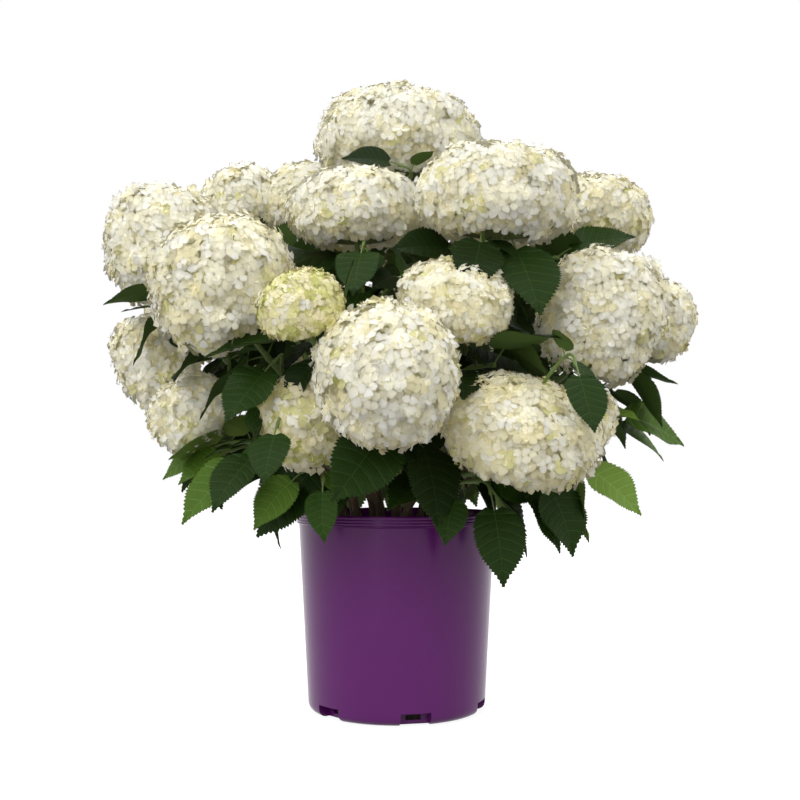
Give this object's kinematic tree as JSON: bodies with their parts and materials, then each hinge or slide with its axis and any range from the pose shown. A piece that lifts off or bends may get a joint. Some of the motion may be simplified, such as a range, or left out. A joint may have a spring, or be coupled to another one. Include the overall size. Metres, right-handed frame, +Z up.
{
  "type": "potted smooth hydrangea shrub",
  "caption": "Smooth hydrangea shrub in full flower: canes with dark serrate leaves under large white mophead flower heads, in its round purple nursery pot.",
  "frame": {"origin": "centre of the pot's flat underside", "axes": "+Z up out of the underside along the pot's axis; -Y towards the shrub's show side, +X to the right as seen from there"},
  "size_m": [0.7322, 0.7353, 0.7846],
  "materials": {
    "pot_plastic": "purple blow-moulded polyethylene with a satin surface",
    "potting_mix": "dark composted bark and peat, crumbly",
    "cane_bark": "tan young bark, matte with fine lengthwise ridges",
    "flowering_stems": "soft white to cream papery sepals, with matte dark green leaves below",
    "leafy_shoots": "matte to satin dark green leaf blades with pale veins"
  },
  "bodies": {
    "root": {"cane_crown_right": "cane_bark", "cane_crown_top": "cane_bark", "cane_flank_left": "cane_bark", "cane_flank_right": "cane_bark", "cane_front_left": "cane_bark", "cane_front_middle": "cane_bark", "cane_front_upper": "cane_bark", "cane_front_young": "cane_bark", "cane_inner_right": "cane_bark", "cane_low_left": "cane_bark", "cane_low_right": "cane_bark", "cane_rear_left": "cane_bark", "cane_rear_left_top": "cane_bark", "cane_rear_low_left": "cane_bark", "cane_rear_low_right": "cane_bark", "cane_rear_middle": "cane_bark", "cane_rear_right": "cane_bark", "cane_rear_right_top": "cane_bark", "cane_rear_top": "cane_bark", "cane_shoulder_left": "cane_bark", "cane_shoulder_rear_left": "cane_bark", "cane_shoulder_right": "cane_bark", "cane_skirt_front_left": "cane_bark", "cane_skirt_front_right": "cane_bark", "cane_skirt_left": "cane_bark", "cane_skirt_rear": "cane_bark", "cane_skirt_right": "cane_bark", "foliage_crown_right": "flowering_stems", "foliage_crown_top": "flowering_stems", "foliage_flank_left": "flowering_stems", "foliage_flank_right": "flowering_stems", "foliage_front_left": "flowering_stems", "foliage_front_middle": "flowering_stems", "foliage_front_upper": "flowering_stems", "foliage_front_young": "flowering_stems", "foliage_inner_right": "flowering_stems", "foliage_low_left": "flowering_stems", "foliage_low_right": "flowering_stems", "foliage_rear_left": "flowering_stems", "foliage_rear_left_top": "flowering_stems", "foliage_rear_low_left": "flowering_stems", "foliage_rear_low_right": "flowering_stems", "foliage_rear_middle": "flowering_stems", "foliage_rear_right": "flowering_stems", "foliage_rear_right_top": "flowering_stems", "foliage_rear_top": "flowering_stems", "foliage_shoulder_left": "flowering_stems", "foliage_shoulder_rear_left": "flowering_stems", "foliage_shoulder_right": "flowering_stems", "foliage_skirt_front_left": "leafy_shoots", "foliage_skirt_front_right": "leafy_shoots", "foliage_skirt_left": "leafy_shoots", "foliage_skirt_rear": "leafy_shoots", "foliage_skirt_right": "flowering_stems", "pot": "pot_plastic", "potting_mix": "potting_mix"}
  },
  "joints": []
}
